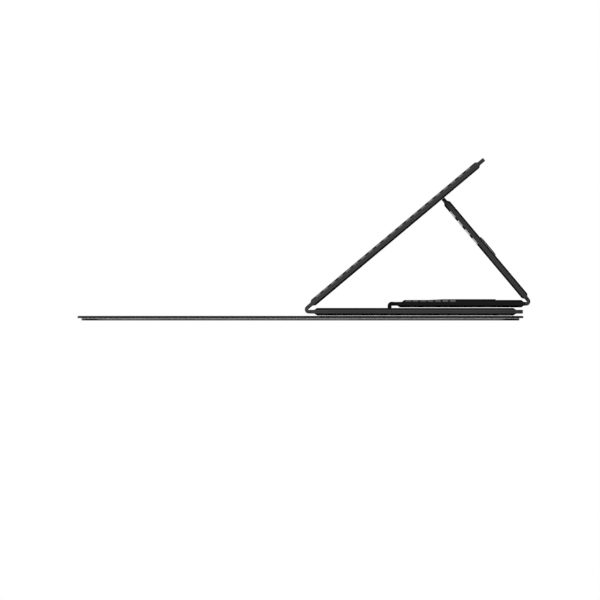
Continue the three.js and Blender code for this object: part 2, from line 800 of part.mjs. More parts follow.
// strap that holds the leg to the base panel: an upright and a quarter turn into the leg's rim
const half_strap = strap_thickness / 2;
const strap_rise = leg_mid - strap_radius - (base_mid + half_panel + layer_gap);
const strapArc = (radius) =>
  Array.from({ length: arc_steps + 1 }, (_, n) => {
    const a = Math.PI - (n / arc_steps) * (Math.PI / 2);
    return new THREE.Vector2(strap_radius + radius * Math.cos(a), -strap_radius + radius * Math.sin(a));
  });
const strap_shape = new THREE.Shape([
  new THREE.Vector2(-half_strap, -strap_radius - strap_rise),
  ...strapArc(strap_radius + half_strap),
  new THREE.Vector2(strap_reach, half_strap),
  new THREE.Vector2(strap_reach, -half_strap),
  ...strapArc(strap_radius - half_strap).reverse(),
  new THREE.Vector2(half_strap, -strap_radius - strap_rise),
]);
const strap = prism(strap_shape, prop_width - 2 * strip_side).translate(strap_x, 0, leg_mid);
add(model, 'leg_strap', strap, materials.fold);

// strut, from the leg's far fold up to the back panel
const strut_outline = {
  x0: rim_start,
  x1: strut_length,
  width: prop_width,
  corners: [hinge_corner, panel_corner / 2],
};
const strut_ends = [strut_fold_rim, tongue_rim];
const strut = new THREE.Group();
strut.position.set(strut_fold.x, 0, strut_fold.y);
strut.rotation.y = -strut_tilt;
model.add(strut);
const strut_laminate = new THREE.Group();
strut_laminate.position.z = -strut_fold_radius;
strut.add(strut_laminate);
const strut_magnet_x = strut_length - tongue_rim - board_edge - magnet_size[0] / 2 - magnet_inset;
const strut_magnets = [
  ['strut_magnet_near', strut_magnet_x, -strut_magnet_side],
  ['strut_magnet_far', strut_magnet_x, strut_magnet_side],
];
panel(
  strut_laminate,
  'strut',
  strut_outline,
  { ends: strut_ends, rise: ribbed_rise },
  { ends: strut_ends, rise: plain_rise },
  strut_magnets.map(([, x, y]) => magnetPocket(x, y)),
);
for (const [name, x, y] of strut_magnets) {
  add(strut_laminate, name, magnet(x, y), materials.steel);
}
const strut_rib_set = {
  start: strut_length - strut_rib_end - strut_rib - (strut_rib_count - 1) * strut_rib_pitch,
  pitch: strut_rib_pitch,
  width: strut_rib,
  count: strut_rib_count,
};
add(strut_laminate, 'strut_grip_pad', gripPad(strut_outline, strut_ends, strut_rib_set), materials.pad);

// pull tab across the strut's outside
const tab_side = (prop_width - pad_side) / 2 - rim_width - chamfer_width - pad_border;
const tab_level = half_panel + layer_gap;
const tab = rectangle(tab_from, tab_from + tab_length, -tab_side, tab_side);
add(strut_laminate, 'strut_pull_tab', flip(slab(tab, tab_level, tab_level + tab_height)), materials.skin);

// fold strip between leg and strut
const strut_strip = foldOutline(strut_fold_radius, half_rim, -90, back_angle, fold_lead);
add(
  model,
  'strut_fold_strip',
  prism(strut_strip, prop_width - 2 * strip_side).translate(strut_fold.x, 0, strut_fold.y),
  materials.fold,
);

export default model;
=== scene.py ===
"""Tablet keyboard case: a thin keyboard base with an easel of four stiff panels folded up on its back half.

Metres, +Z up, +X from the typist's edge to the back edge, +Y to the typist's left along the keys.
"""
import json
import math

import bpy
import numpy as np
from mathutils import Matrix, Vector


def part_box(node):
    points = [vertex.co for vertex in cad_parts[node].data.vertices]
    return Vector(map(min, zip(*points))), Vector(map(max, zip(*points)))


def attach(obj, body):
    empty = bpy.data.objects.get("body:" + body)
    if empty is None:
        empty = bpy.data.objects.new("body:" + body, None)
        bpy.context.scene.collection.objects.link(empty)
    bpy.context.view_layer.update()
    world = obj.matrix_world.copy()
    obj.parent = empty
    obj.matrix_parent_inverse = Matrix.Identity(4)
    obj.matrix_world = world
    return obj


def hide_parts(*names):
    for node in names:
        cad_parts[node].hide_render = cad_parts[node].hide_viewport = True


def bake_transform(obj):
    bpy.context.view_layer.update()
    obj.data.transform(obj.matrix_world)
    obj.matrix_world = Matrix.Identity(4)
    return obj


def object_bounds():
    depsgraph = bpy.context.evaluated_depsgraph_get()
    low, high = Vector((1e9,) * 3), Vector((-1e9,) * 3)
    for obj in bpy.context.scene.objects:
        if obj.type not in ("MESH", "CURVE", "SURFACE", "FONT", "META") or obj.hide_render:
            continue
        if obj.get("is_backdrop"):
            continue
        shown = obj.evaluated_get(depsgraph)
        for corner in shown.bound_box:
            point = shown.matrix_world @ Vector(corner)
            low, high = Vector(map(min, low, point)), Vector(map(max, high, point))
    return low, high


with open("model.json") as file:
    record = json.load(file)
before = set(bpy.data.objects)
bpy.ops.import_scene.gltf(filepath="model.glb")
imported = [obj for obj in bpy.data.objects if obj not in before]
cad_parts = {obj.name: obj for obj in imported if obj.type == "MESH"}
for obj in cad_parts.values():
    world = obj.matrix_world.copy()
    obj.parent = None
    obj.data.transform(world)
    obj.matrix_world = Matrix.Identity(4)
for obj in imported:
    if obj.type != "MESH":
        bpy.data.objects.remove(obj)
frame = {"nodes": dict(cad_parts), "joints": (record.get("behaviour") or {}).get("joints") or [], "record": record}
nodes = frame["nodes"]
joints = {joint["name"]: joint for joint in frame["joints"]}
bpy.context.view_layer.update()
scene = bpy.context.scene
scene.view_settings.view_transform = "Standard"

# ---- studio ------------------------------------------------------------------------------------
# A level view straight along the keys, a pale table and a white room that is dimmer towards the back of the
# case. A large soft lamp and a low level one stand at its side, a smaller one before the typist's edge.


def carried_range(tree, source, given, wanted):
    """The output of a node that carries `source` from one range to another and holds it at both ends."""
    node = tree.nodes.new("ShaderNodeMapRange")
    for socket, value in zip(("From Min", "From Max", "To Min", "To Max"), (*given, *wanted)):
        node.inputs[socket].default_value = value
    tree.links.new(source, node.inputs["Value"])
    return node.outputs["Result"]


view_width = 0.48
camera_data = bpy.data.cameras.new("side_camera")
camera_data.type = "ORTHO"
camera_data.ortho_scale = view_width
camera_data.clip_end = 20
camera = bpy.data.objects.new("side_camera", camera_data)
camera.location = (-0.0032, -2.0, 0.0164)
camera.rotation_euler = (math.pi / 2, 0, 0)
scene.collection.objects.link(camera)
scene.camera = camera

room = bpy.data.worlds.new("white_room")
room.use_nodes = True
room_tree = room.node_tree
room_tree.nodes["Background"].inputs["Color"].default_value = (1, 1, 1, 1)
facing = room_tree.nodes.new("ShaderNodeTexCoord")
compass = room_tree.nodes.new("ShaderNodeSeparateXYZ")
room_tree.links.new(facing.outputs["Generated"], compass.inputs["Vector"])
falloff = carried_range(room_tree, compass.outputs["X"], (0.15, 0.95), (1.0, 0.45))
room_tree.links.new(falloff, room_tree.nodes["Background"].inputs["Strength"])
scene.world = room


def soft_lamp(name, place, target, size, power):
    """A lamp of a width and a height, `size`, at `place`, that faces `target`."""
    data = bpy.data.lights.new(name, "AREA")
    data.shape = "RECTANGLE"
    data.size, data.size_y = size
    data.energy = power
    lamp = bpy.data.objects.new(name, data)
    lamp.location = place
    aim = np.array(target, float) - np.array(place, float)
    lamp.rotation_euler = (
        math.atan2(math.hypot(aim[0], aim[1]), -aim[2]),
        0,
        math.atan2(aim[1], aim[0]) - math.pi / 2,
    )
    scene.collection.objects.link(lamp)
    return lamp


soft_lamp("side_lamp", (-0.5, -2.2, 0.35), (0, 0, 0.04), (0.9, 0.9), 4)
soft_lamp("level_lamp", (-0.1, -2.2, 0.03), (0, 0, 0.03), (1.2, 0.1), 13)
soft_lamp("typist_lamp", (-1.9, -0.6, 0.4), (0, 0, 0.04), (0.6, 0.6), 12)

table_half = 4.0
table_mesh = bpy.data.meshes.new("table")
table_mesh.from_pydata(
    [(x * table_half, y * table_half, -0.00005) for x, y in ((-1, -1), (1, -1), (1, 1), (-1, 1))],
    [],
    [(0, 1, 2, 3)],
)
table = bpy.data.objects.new("table", table_mesh)
scene.collection.objects.link(table)
table_white = bpy.data.materials.new("table_white")
table_white.use_nodes = True
table_white.node_tree.nodes["Principled BSDF"].inputs["Base Color"].default_value = (0.86, 0.86, 0.86, 1)
table_white.node_tree.nodes["Principled BSDF"].inputs["Roughness"].default_value = 0.9
table_mesh.materials.append(table_white)
table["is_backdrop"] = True

# ---- bottom tray -------------------------------------------------------------------------------
# The underside of the keyboard: a pressed aluminium pan with rounded corners and a low wall, blasted
# with fine beads, with a seat for each of the six screws.


def plan_outline(low, high, low_corner, high_corner, inset=0.0, steps=10):
    """Rounded rectangle, anticlockwise: four quarter circles about fixed centres, joined by straight edges.

    `low` and `high` are its corners; `low_corner` is the radius at its low-x end. An inset moves the
    whole line inwards and makes the arcs smaller by as much.
    """
    quarter = np.linspace(0, math.pi / 2, steps + 1)
    points = []
    for sx, sy, radius, start in (
        (1, -1, high_corner, -math.pi / 2),
        (1, 1, high_corner, 0),
        (-1, 1, low_corner, math.pi / 2),
        (-1, -1, low_corner, math.pi),
    ):
        left = max(radius - inset, 0.00005)
        corner_x = (high[0] if sx > 0 else low[0]) - sx * (inset + left)
        corner_y = (high[1] if sy > 0 else low[1]) - sy * (inset + left)
        angle = start + quarter
        points.append(np.stack([corner_x + left * np.cos(angle), corner_y + left * np.sin(angle)], axis=1))
    return np.concatenate(points)


def stacked_rings(rings, closed=False):
    """Skin over a stack of rings of equal point count, (outline, height) each, from the bottom up.

    Quads join each ring to the next. The first and last ring are closed by one flat face each, or, when
    `closed`, the last ring is joined to the first, so that the profile goes all the way round.
    """
    count = len(rings[0][0])
    points = np.concatenate([np.column_stack([line, np.full(count, height)]) for line, height in rings])
    here = np.arange(count)
    ahead = np.roll(here, -1)
    levels = range(len(rings) if closed else len(rings) - 1)
    faces = []
    for level in levels:
        low = level * count
        high = (level + 1) % len(rings) * count
        faces += np.stack([low + here, low + ahead, high + ahead, high + here], axis=1).tolist()
    if not closed:
        faces.append(here[::-1].tolist())
        faces.append(((len(rings) - 1) * count + here).tolist())
    return points, faces


def joined(shells):
    """Several (points, faces) shells as one, their face numbers moved on by the points before them."""
    points = np.concatenate([shell[0] for shell in shells])
    faces = []
    before = 0
    for shell_points, shell_faces in shells:
        faces += [[before + corner for corner in face] for face in shell_faces]
        before += len(shell_points)
    return points, faces


def piece(name, shell, material, smooth=35):
    """An object made of one shell, with flat shading across edges sharper than `smooth` degrees."""
    points, faces = shell
    mesh = bpy.data.meshes.new(name)
    mesh.from_pydata(np.asarray(points).tolist(), [], faces)
    mesh.validate()
    mesh.shade_smooth()
    mesh.set_sharp_from_angle(angle=math.radians(smooth))
    mesh.materials.append(material)
    made = bpy.data.objects.new(name, mesh)
    scene.collection.objects.link(made)
    return made


def plan_solid(low, high, corner, profile, steps=6, closed=False):
    """A rounded rectangle carried up a profile of (inset, height) pairs, closed at both ends or, when
    `closed`, all the way round."""
    rings = [(plan_outline(low, high, corner, corner, inset, steps), z) for inset, z in profile]
    return stacked_rings(rings, closed)


def round_disc(x, y, profile, sides=32):
    """A turned solid: a circle about (x, y) carried up a profile of (radius, height) pairs."""
    angle = np.linspace(0, 2 * math.pi, sides, endpoint=False)
    circle = np.stack([np.cos(angle), np.sin(angle)], axis=1)
    return stacked_rings([(circle * radius + (x, y), z) for radius, z in profile])


def cut_away(body, shells):
    """The body's mesh with each shell cut out of it by an exact boolean, and its doubles left merged."""
    tools = []
    for shell in shells:
        tool = piece("cutter", shell, body.data.materials[0])
        change = body.modifiers.new("cut", "BOOLEAN")
        change.operation = "DIFFERENCE"
        change.solver = "EXACT"
        change.object = tool
        tools.append(tool)
    bpy.context.view_layer.update()
    cut = bpy.data.meshes.new_from_object(body.evaluated_get(bpy.context.evaluated_depsgraph_get()))
    body.modifiers.clear()
    body.data = cut
    body.data.set_sharp_from_angle(angle=math.radians(35))
    for tool in tools:
        bpy.data.objects.remove(tool)
    return body


def fitted(made, body, node):
    """A piece rides on its body, takes its CAD node's place and is listed under its slot."""
    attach(made, body)
    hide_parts(node)


def finish_of(name, colour, roughness, metallic=0.0, gloss=0.5):
    """A new surface finish with its node tree and shader, which the sections below wire up. `gloss` is how
    strongly it mirrors."""
    material = bpy.data.materials.new(name)
    material.use_nodes = True
    tree = material.node_tree
    shader = tree.nodes["Principled BSDF"]
    shader.inputs["Base Color"].default_value = (*colour, 1)
    shader.inputs["Roughness"].default_value = roughness
    shader.inputs["Metallic"].default_value = metallic
    shader.inputs["Specular IOR Level"].default_value = gloss
    return material, tree, shader


def object_noise(tree, scale, detail=2.0):
    """The output of a noise on the object's own coordinates."""
    place = tree.nodes.new("ShaderNodeTexCoord")
    noise = tree.nodes.new("ShaderNodeTexNoise")
    noise.inputs["Scale"].default_value = scale
    noise.inputs["Detail"].default_value = detail
    tree.links.new(place.outputs["Object"], noise.inputs["Vector"])
    return noise.outputs["Fac"]


def mottle(tree, shader, scale, dark, light, detail=4.0, socket="Base Color"):
    """Cloudy variation between two colours."""
    ramp = tree.nodes.new("ShaderNodeValToRGB")
    ramp.color_ramp.elements[0].position = 0.3
    ramp.color_ramp.elements[1].position = 0.7
    ramp.color_ramp.elements[0].color = (*dark, 1)
    ramp.color_ramp.elements[1].color = (*light, 1)
    tree.links.new(object_noise(tree, scale, detail), ramp.inputs["Fac"])
    if socket:
        tree.links.new(ramp.outputs["Color"], shader.inputs[socket])
    return ramp


def roughness_drift(tree, shader, scale, low, high):
    """Slow change of roughness over the surface, as handling leaves it."""
    drift = carried_range(tree, object_noise(tree, scale), (0.3, 0.7), (low, high))
    tree.links.new(drift, shader.inputs["Roughness"])


def fine_grain(tree, shader, scale, depth, cells=False, strength=0.6):
    """A bump of fine noise, or of small cells with creases between them, `depth` metres high."""
    bump = tree.nodes.new("ShaderNodeBump")
    bump.inputs["Strength"].default_value = strength
    bump.inputs["Distance"].default_value = depth
    if cells:
        place = tree.nodes.new("ShaderNodeTexCoord")
        grain = tree.nodes.new("ShaderNodeTexVoronoi")
        grain.feature = "DISTANCE_TO_EDGE"
        grain.inputs["Scale"].default_value = scale
        tree.links.new(place.outputs["Object"], grain.inputs["Vector"])
        height = grain.outputs["Distance"]
    else:
        height = object_noise(tree, scale, 3.0)
    tree.links.new(height, bump.inputs["Height"])
    tree.links.new(bump.outputs["Normal"], shader.inputs["Normal"])
    return bump


blasted_metal, tree, shader = finish_of("blasted_aluminium", (0.07, 0.072, 0.074), 0.42, 0.9)
grey = mottle(tree, shader, 60, (0.064, 0.066, 0.068), (0.076, 0.078, 0.08), socket=None)
# painted shade: its two round ends are toned darker, from the place along X; only the last few millimetres of the
# low-x tip keep the full tone
place = tree.nodes.new("ShaderNodeTexCoord")
split = tree.nodes.new("ShaderNodeSeparateXYZ")
tree.links.new(place.outputs["Object"], split.inputs["Vector"])
along = carried_range(tree, split.outputs["X"], (-0.18, 0.18), (0, 1))
ends = tree.nodes.new("ShaderNodeValToRGB")
ends.color_ramp.elements[0].position = 0.012
ends.color_ramp.elements[0].color = (1, 1, 1, 1)
ends.color_ramp.elements[1].position = 0.965
ends.color_ramp.elements[1].color = (0.15, 0.15, 0.15, 1)
for position, level in ((0.016, 0.13), (0.028, 0.15), (0.045, 0.55), (0.065, 1), (0.935, 1), (0.95, 0.25)):
    stop = ends.color_ramp.elements.new(position)
    stop.color = (level, level, level, 1)
toned = tree.nodes.new("ShaderNodeMix")
toned.data_type = "RGBA"
toned.blend_type = "MULTIPLY"
toned.inputs["Factor"].default_value = 1
tree.links.new(along, ends.inputs["Fac"])
tree.links.new(grey.outputs["Color"], toned.inputs["A"])
tree.links.new(ends.outputs["Color"], toned.inputs["B"])
tree.links.new(toned.outputs["Result"], shader.inputs["Base Color"])
roughness_drift(tree, shader, 25, 0.36, 0.5)
fine_grain(tree, shader, 2600, 0.00003)

tray_low, tray_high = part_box("bottom_tray")
tray_corner = 0.016
tray_wall = 0.0012
tray_floor = tray_low.z + 0.000765
tray_base = tray_low.z - 0.0001
tray_profile = (
    (0.0005, tray_base),
    (0.0002, tray_base + 0.00004),
    (0.00005, tray_base + 0.00014),
    (0.0, tray_base + 0.0003),
    (0.0, tray_high.z - 0.00015),
    (0.0001, tray_high.z - 0.00003),
    (0.0003, tray_high.z),
    (tray_wall - 0.0001, tray_high.z),
    (tray_wall, tray_high.z - 0.0001),
    (tray_wall, tray_floor + 0.0002),
    (tray_wall + 0.0003, tray_floor),
)
tray = piece(
    "blasted_tray",
    plan_solid(tray_low, tray_high, tray_corner, tray_profile, 14),
    blasted_metal,
)
screw_boxes = [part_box(name) for name in sorted(nodes) if name.startswith("tray_screw")]
screw_places = [((low.x + high.x) / 2, (low.y + high.y) / 2) for low, high in screw_boxes]
screw_foot = screw_boxes[0][0].z
foot_boxes = {name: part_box(name) for name in ("foot_strip_front", "foot_strip_middle", "foot_strip_back")}
groove_gap = 0.0003
cut_away(
    tray,
    [
        plan_solid(
            (low.x - groove_gap, low.y - groove_gap),
            (high.x + groove_gap, high.y + groove_gap),
            0.0023,
            ((0, tray_low.z - 0.001), (0, high.z + 0.00004)),
        )
        for low, high in foot_boxes.values()
    ]
    + [
        round_disc(
            x,
            y,
            (
                (0.0021, tray_low.z - 0.0005),
                (0.00205, tray_low.z),
                (0.0018, tray_low.z + 0.00025),
                (0.0009, tray_low.z + 0.0003),
                (0.0009, tray_floor + 0.0003),
            ),
        )
        for x, y in screw_places
    ],
)
fitted(tray, "base", "bottom_tray")

# ---- screws ------------------------------------------------------------------------------------
# Six flat-headed screws hold the tray to the deck's bosses. Each head is turned, with a rounded rim and
# a cross recess.

plated_steel, tree, shader = finish_of("plated_steel", (0.5, 0.5, 0.51), 0.3, 1.0)
mottle(tree, shader, 900, (0.44, 0.44, 0.45), (0.56, 0.56, 0.57))
roughness_drift(tree, shader, 500, 0.22, 0.4)
screw_top = screw_boxes[0][1].z
screw_profile = (
    (0.0013, screw_foot),
    (0.0015, screw_foot + 0.00003),
    (0.0016, screw_foot + 0.0001),
    (0.0016, screw_foot + 0.00014),
    (0.0007, screw_foot + 0.0002),
    (0.0007, screw_top - 0.0003),
    (0.0004, screw_top),
)
for number, (x, y) in enumerate(screw_places, 1):
    screw = piece(f"flat_screw_{number}", round_disc(x, y, screw_profile), plated_steel)
    arm, reach = 0.00022, 0.0009
    recess = ((0, screw_foot - 0.0001), (0, screw_foot + 0.00009))
    cut_away(
        screw,
        [plan_solid((x - a, y - b), (x + a, y + b), 0.0001, recess) for a, b in ((reach, arm), (arm, reach))],
    )
    fitted(screw, "base", f"tray_screw_{number}")

# ---- foot strips -------------------------------------------------------------------------------
# Three die-cut strips of black rubber in grooves under the tray, with a rolled edge and a fine pebble.

foot_rubber, tree, shader = finish_of("foot_rubber", (0.012, 0.012, 0.012), 0.85)
mottle(tree, shader, 300, (0.01, 0.01, 0.01), (0.017, 0.017, 0.017))
fine_grain(tree, shader, 1400, 0.00008, cells=True)
for name, (low, high) in foot_boxes.items():
    rolled = ((0.0004, low.z), (0.0001, low.z + 0.00005), (0.0, low.z + 0.00012), (0.0, high.z))
    strip = piece(f"rubber_{name}", plan_solid(low, high, 0.002, rolled), foot_rubber)
    fitted(strip, "base", name)

# ---- gasket ------------------------------------------------------------------------------------
# A ring of pale foam just inside the tray's edge closes the gap between the tray and the deck.

pale_foam, tree, shader = finish_of("pale_foam", (0.9, 0.9, 0.88), 0.95, gloss=0.2)
mottle(tree, shader, 500, (0.87, 0.87, 0.85), (0.93, 0.93, 0.91))
fine_grain(tree, shader, 900, 0.0001)
gasket_low, gasket_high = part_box("base_gasket")
gasket_width = 0.001
deck_bottom = tray_high.z + 0.00032
gasket_profile = (
    (0.0001, tray_high.z - 0.00001),
    (0.0, tray_high.z + 0.00008),
    (0.0, deck_bottom - 0.00008),
    (0.0001, deck_bottom + 0.00001),
    (gasket_width, deck_bottom + 0.00001),
    (gasket_width, tray_high.z - 0.00001),
)
port_low, port_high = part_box("charging_port")
port_notch = plan_solid(
    (port_low.x - 0.0003, port_low.y - 0.0003),
    (port_high.x + 0.0003, tray_high.y + 0.01),
    0.0006,
    ((0, tray_floor + 0.0001), (0, port_high.z + 0.00005)),
)
gasket = piece(
    "foam_gasket",
    plan_solid(gasket_low, gasket_high, tray_corner, gasket_profile, 14, closed=True),
    pale_foam,
)
cut_away(gasket, [port_notch])
fitted(gasket, "base", "base_gasket")

# ---- electronics -------------------------------------------------------------------------------
# What lies between tray and deck: the printed membrane with its rubber domes, the ribbon to the
# controller board, the battery, the charging socket and the trackpad's click switch.

membrane_film, tree, shader = finish_of("membrane_film", (0.3, 0.33, 0.28), 0.35)
mottle(tree, shader, 40, (0.26, 0.3, 0.24), (0.34, 0.37, 0.31))
board_green, tree, shader = finish_of("board_green", (0.02, 0.12, 0.06), 0.35)
mottle(tree, shader, 220, (0.012, 0.085, 0.04), (0.03, 0.15, 0.075))
fine_grain(tree, shader, 500, 0.00005)
cell_foil, tree, shader = finish_of("cell_foil", (0.5, 0.51, 0.52), 0.35, 0.5)
mottle(tree, shader, 35, (0.44, 0.45, 0.46), (0.56, 0.57, 0.58))
fine_grain(tree, shader, 90, 0.0002)
board_brown, tree, shader = finish_of("fibre_board", (0.2, 0.18, 0.15), 0.9)
mottle(tree, shader, 150, (0.16, 0.145, 0.12), (0.24, 0.215, 0.18), 8)
fine_grain(tree, shader, 700, 0.0001)
carried_over = (
    (membrane_film, ("key_membrane", "ribbon_cable")),
    (foot_rubber, ("dome_sheet",)),
    (board_green, ("controller_board",)),
    (cell_foil, ("battery_cell",)),
    (plated_steel, ("charging_port", "trackpad_switch", "dock_plate")),
    (plated_steel, ("back_magnet_near", "back_magnet_far", "strut_magnet_near", "strut_magnet_far")),
    (pale_foam, ("bond_pad_near", "bond_pad_far")),
    (board_brown, ("base_panel_board", "back_panel_board", "leg_board", "strut_board")),
)
for material, names in carried_over:
    for name in names:
        nodes[name].data.materials.clear()
        nodes[name].data.materials.append(material)

# ---- keys --------------------------------------------------------------------------------------
# Each row is moulded in one web of black plastic. A cap has a rolled edge and a shallow dish, and two
# caps of the home row carry a small bar for the fingers.

key_black, tree, shader = finish_of("key_black", (0.016, 0.016, 0.017), 0.5)
mottle(tree, shader, 120, (0.0135, 0.0135, 0.0145), (0.019, 0.019, 0.02))
roughness_drift(tree, shader, 60, 0.42, 0.6)
fine_grain(tree, shader, 3200, 0.00004)

key_rows = (
    "function_keys",
    "number_keys",
    "upper_letter_keys",
    "home_letter_keys",
    "lower_letter_keys",
    "modifier_keys_left",
    "space_bar",
    "modifier_keys_right",
)
cap_corner = 0.0016
dish_depth = 0.00014


def node_points(name):
    """A CAD node's points as an array."""
    points = np.zeros(len(nodes[name].data.vertices) * 3)
    nodes[name].data.vertices.foreach_get("co", points)
    return points.reshape(-1, 3)


def cap_spans(name):
    """Low and high y of each cap in a row, from the corners of the CAD caps' tops."""
    points = node_points(name)
    tops = points[points[:, 2] > points[:, 2].max() - 1e-5]
    return tops[:, 0].min(), tops[:, 0].max(), np.unique(np.round(tops[:, 1], 5)).reshape(-1, 2)


def key_cap(low, high, web, top):
    """One cap: a rounded rectangle that leans in, rolls over at its edge and dips towards its middle.

    Past the edge the height falls as the square of the share of the way to the middle.
    """
    reach = min(high[0] - low[0], high[1] - low[1]) / 2 - 0.0006
    edge = 0.0007
    rings = [(0.0, web), (0.00002, top - 0.0006), (0.00012, top - 0.00025), (0.00035, top - 0.00006)]
    rings.append((edge, top))
    share = np.linspace(0.15, 0.95, 5)
    rings += [(edge + s * (reach - edge), top - dish_depth * (1 - (1 - s) ** 2)) for s in share]
    return plan_solid(low, high, cap_corner, rings, steps=4)


for name in key_rows:
    low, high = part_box(name)
    row_front, row_back, spans = cap_spans(name)
    web_top = low.z + 0.0003
    shells = [
        plan_solid(low, high, 0.001, ((0, low.z), (0, web_top - 0.00005), (0.00005, web_top))),
        *(key_cap((row_front, start), (row_back, end), web_top - 0.0001, high.z) for start, end in spans),
    ]
    if name == "home_letter_keys":
        for cap in (len(spans) - 5, len(spans) - 8):
            middle = spans[cap].mean()
            bar_low = (row_front + 0.0022, middle - 0.0018)
            bar_high = (row_front + 0.0027, middle + 0.0018)
            bar_profile = ((0, high.z - 0.0002), (0, high.z), (0.0001, high.z + 0.00008))
            shells.append(plan_solid(bar_low, bar_high, 0.00024, bar_profile))
    row = piece(f"moulded_{name}", joined(shells), key_black, 50)
    fitted(row, f"{name}_body", name)

# ---- trackpad ----------------------------------------------------------------------------------
# A plate of etched glass with a polished bevel, on a tilting plate that clicks at the typist's edge.

etched_glass, tree, shader = finish_of("etched_glass", (0.03, 0.031, 0.034), 0.28)
mottle(tree, shader, 20, (0.027, 0.028, 0.031), (0.034, 0.035, 0.038))
roughness_drift(tree, shader, 45, 0.22, 0.36)
shader.inputs["Coat Weight"].default_value = 0.3
shader.inputs["Coat Roughness"].default_value = 0.12
pad_low, pad_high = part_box("trackpad")
pad_profile = (
    (0.0001, pad_low.z),
    (0.0, pad_low.z + 0.0001),
    (0.0, pad_high.z - 0.00025),
    (0.00012, pad_high.z - 0.00006),
    (0.0003, pad_high.z),
)
trackpad = piece("glass_trackpad", plan_solid(pad_low, pad_high, 0.003, pad_profile), etched_glass)
fitted(trackpad, "trackpad_plate", "trackpad")

# ---- deck --------------------------------------------------------------------------------------
# The moulded top of the base, in dark soft-touch plastic. Its rim is rolled, each row of keys and the
# trackpad has a well with a rounded lip, and the underside is hollow.

soft_touch, tree, shader = finish_of("soft_touch_plastic", (0.015, 0.0157, 0.0167), 0.6, gloss=0.12)
mottle(tree, shader, 35, (0.014, 0.0145, 0.0157), (0.016, 0.0165, 0.0177))
roughness_drift(tree, shader, 18, 0.55, 0.66)
fine_grain(tree, shader, 2400, 0.00002)

deck_low, deck_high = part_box("keyboard_deck")
deck_corner = 0.018
deck_profile = (
    (0.0006, deck_bottom),
    (0.0001, deck_bottom + 0.00012),
    (0.0, deck_bottom + 0.0004),
    (0.0, deck_high.z - 0.0007),
    (0.0001, deck_high.z - 0.00036),
    (0.00034, deck_high.z - 0.00012),
    (0.0007, deck_high.z - 0.00002),
    (0.0011, deck_high.z),
)
deck = piece(
    "moulded_deck",
    plan_solid(deck_low, deck_high, deck_corner, deck_profile, 16),
    soft_touch,
)
well_gap = 0.00045
lip = 0.00025
skin_bottom = deck_high.z - 0.0007


def well(low, high, corner):
    """The space of a well: straight walls that flare out in a rounded lip at the deck's face."""
    return plan_solid(
        low,
        high,
        corner,
        (
            (0, skin_bottom - 0.001),
            (0, deck_high.z - lip),
            (-0.3 * lip, deck_high.z - 0.4 * lip),
            (-lip, deck_high.z),
            (-lip, deck_high.z + 0.001),
        ),
        5,
    )


wells = []
for name in ("function_keys", "number_keys", "upper_letter_keys", "home_letter_keys", "lower_letter_keys"):
    row_front, row_back, spans = cap_spans(name)
    corner_low = (row_front - well_gap, spans.min() - well_gap)
    corner_high = (row_back + well_gap, spans.max() + well_gap)
    wells.append(well(corner_low, corner_high, cap_corner + well_gap))
row_front, row_back, spans = cap_spans("modifier_keys_right")
wells.append(
    well(
        (row_front - well_gap, spans.min() - well_gap),
        (row_back + well_gap, cap_spans("modifier_keys_left")[2].max() + well_gap),
        cap_corner + well_gap,
    )
)
pad_gap = 0.0004
pad_well = ((pad_low.x - pad_gap, pad_low.y - pad_gap), (pad_high.x + pad_gap, pad_high.y + pad_gap))
wells.append(well(*pad_well, 0.0034))
slider_low, slider_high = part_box("power_slider")
slider_travel = joints["power_switch_slide"]["range_m"][1]
knob_inset = (0.001, 0.0015)
knob_low = (slider_low.x + knob_inset[0], slider_low.y + knob_inset[1])
knob_high = (slider_high.x - knob_inset[0], slider_high.y - knob_inset[1])
knob_gap = 0.0003
slot_end = knob_high[1] + slider_travel + knob_gap
knob_slot = ((knob_low[0] - knob_gap, knob_low[1] - knob_gap), (knob_high[0] + knob_gap, slot_end))
wells.append(well(*knob_slot, 0.001))
lens_low, lens_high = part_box("status_lens")
lens_x, lens_y = (lens_low.x + lens_high.x) / 2, (lens_low.y + lens_high.y) / 2
lens_hole = ((0.0011, skin_bottom - 0.001), (0.0011, deck_high.z - 0.0001), (0.0013, deck_high.z + 0.001))
wells.append(round_disc(lens_x, lens_y, lens_hole))
deck_wall = 0.005
hollow = plan_solid(
    (deck_low.x + deck_wall, deck_low.y + deck_wall),
    (deck_high.x - deck_wall, deck_high.y - deck_wall),
    deck_corner - deck_wall,
    ((0, deck_bottom - 0.001), (0, skin_bottom)),
    12,
)
cut_away(deck, [hollow, port_notch, *wells])
fitted(deck, "base", "keyboard_deck")

# ---- power slider and status lens --------------------------------------------------------------
# A small black knob with three grip ridges on a runner under the skin, and a frosted light guide.

runner_top = skin_bottom - 0.0001
ridge_step = 0.0009
ridge_middle = (knob_low[1] + knob_high[1]) / 2
runner_profile = ((0.0001, slider_low.z), (0, slider_low.z + 0.0001), (0, runner_top))
slider_shells = [
    plan_solid(slider_low, slider_high, 0.0006, runner_profile),
    plan_solid(
        knob_low,
        knob_high,
        0.0006,
        (
            (0, runner_top - 0.0001),
            (0, slider_high.z - 0.0003),
            (0.0001, slider_high.z - 0.00012),
            (0.0003, slider_high.z - 0.0001),
        ),
    ),
]
for step in (-1, 0, 1):
    y = ridge_middle + step * ridge_step
    slider_shells.append(
        plan_solid(
            (knob_low[0] + 0.0003, y - 0.0002),
            (knob_high[0] - 0.0003, y + 0.0002),
            0.00015,
            ((0, slider_high.z - 0.0003), (0, slider_high.z - 0.00004), (0.00012, slider_high.z)),
        )
    )
slider = piece("ridged_slider", joined(slider_shells), key_black, 50)
fitted(slider, "power_switch", "power_slider")

